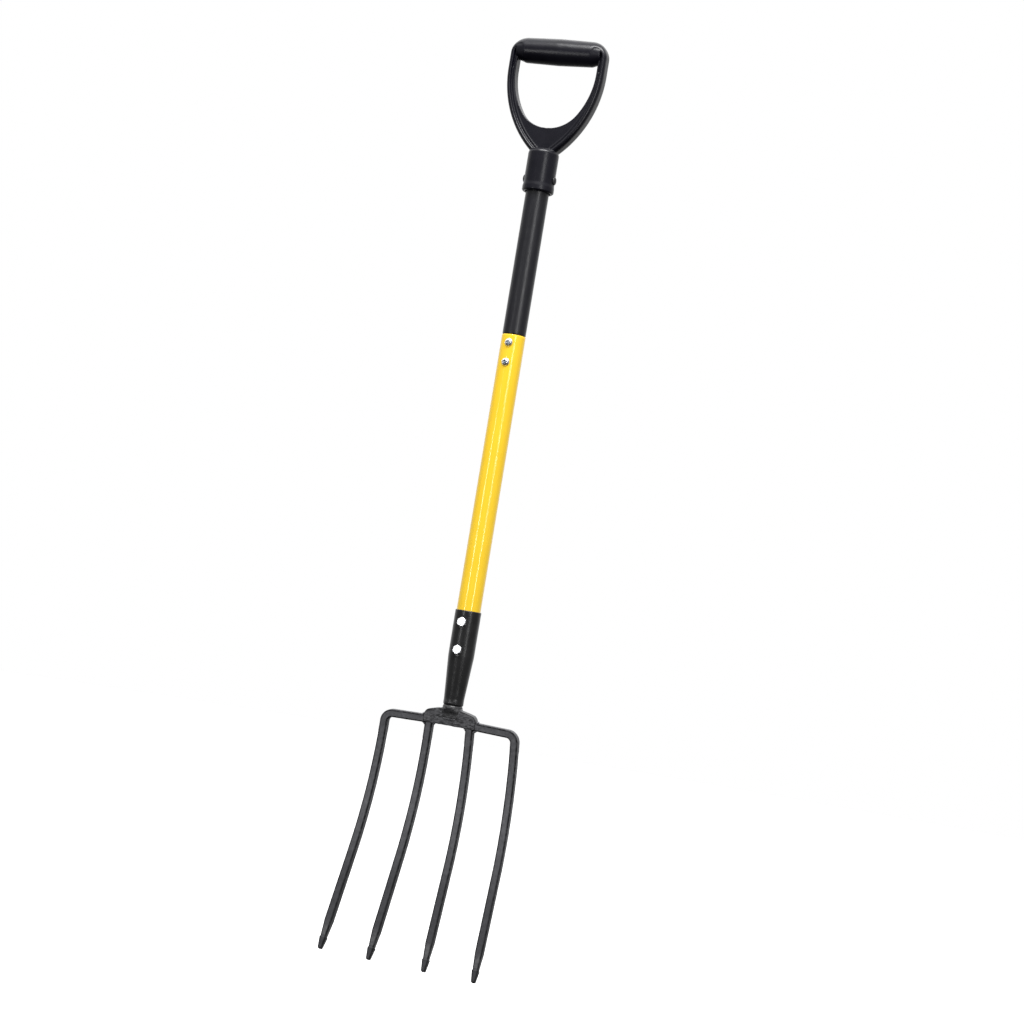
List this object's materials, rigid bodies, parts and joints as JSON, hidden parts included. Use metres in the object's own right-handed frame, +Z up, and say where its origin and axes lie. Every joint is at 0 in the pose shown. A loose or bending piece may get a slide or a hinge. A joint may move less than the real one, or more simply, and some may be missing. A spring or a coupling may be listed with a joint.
{
  "type": "digging fork",
  "caption": "Digging fork with square steel tines on a welded shoulder, a bolted steel socket, a tubular steel shaft and a moulded D-grip.",
  "frame": {"origin": "middle of the underside of the hand bar, where the fork hangs on a hook or peg", "axes": "+Z up along the shaft from the tines to the grip, -Y the way the tines curve forward, +X to the fork's right seen from its front"},
  "size_m": [0.1994, 0.0723, 1.1094],
  "materials": {
    "grip_plastic": "semi-gloss moulded black",
    "rivet_steel": "black painted steel, worn on the dome",
    "black_tube": "semi-gloss black powder coat",
    "yellow_tube": "glossy yellow powder coat",
    "screw_zinc": "bright zinc",
    "socket_black": "satin black paint over pressed steel",
    "bolt_zinc": "bright zinc",
    "forged_grey": "hammered dark grey paint",
    "tine_grey": "dark grey paint over rolled bar",
    "weld_dark": "dark paint over weld bead"
  },
  "bodies": {
    "root": {"d_grip": "grip_plastic", "grip_rivet": "rivet_steel", "upper_tube": "black_tube", "lower_tube": "yellow_tube", "tube_screws": "screw_zinc", "socket": "socket_black", "socket_bolts": "bolt_zinc", "socket_nuts": "bolt_zinc", "shoulder_plate": "forged_grey", "outer_tine_left": "tine_grey", "outer_tine_right": "tine_grey", "inner_tine_left": "tine_grey", "inner_tine_right": "tine_grey", "tine_welds": "weld_dark", "socket_welds": "weld_dark"}
  },
  "joints": []
}
